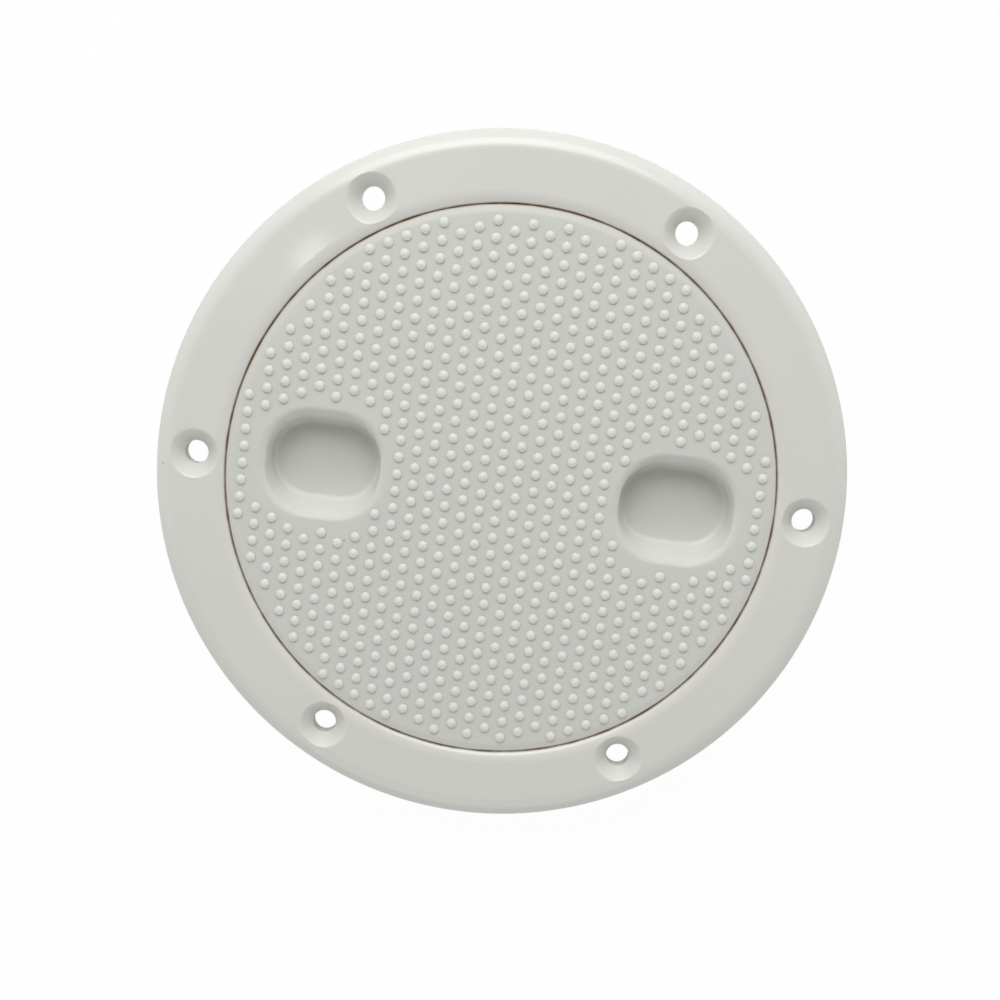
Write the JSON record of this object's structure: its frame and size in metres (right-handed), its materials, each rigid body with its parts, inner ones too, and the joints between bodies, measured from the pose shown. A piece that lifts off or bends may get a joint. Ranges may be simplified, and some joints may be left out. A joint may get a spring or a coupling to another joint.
{
  "type": "deck inspection plate",
  "caption": "Round screw-out access plate for a boat deck: a flanged ring with countersunk holes and a studded screw-in lid with finger recesses.",
  "frame": {"origin": "centre of the flange's underside, on the deck surface, on the axis of the screw circle", "axes": "+Z out of the deck along the lid's axis; +X from the centre through one screw hole, along the line of the two finger recesses"},
  "size_m": [0.141, 0.141, 0.0219],
  "materials": {
    "flange_plastic": "satin",
    "lid_plastic": "matte",
    "seal_rubber": "matte"
  },
  "bodies": {
    "ring": {"deck_ring": "flange_plastic"},
    "seal": {"seal_ring": "seal_rubber"},
    "lid": {"screw_lid": "lid_plastic"}
  },
  "joints": [
    {"name": "lid_lift", "type": "slide", "parent": "ring", "child": "seal", "axis": [0, 0, 1], "range_m": [0, 0.02]},
    {"name": "lid_turn", "type": "hinge", "parent": "seal", "child": "lid", "pos_m": [0, 0, 0], "axis": [0, 0, 1], "range_deg": [0, 1800]}
  ],
  "couplings": [
    {"joint": "lid_lift", "follows": "lid_turn", "m_per_rad": 0.00063662}
  ]
}
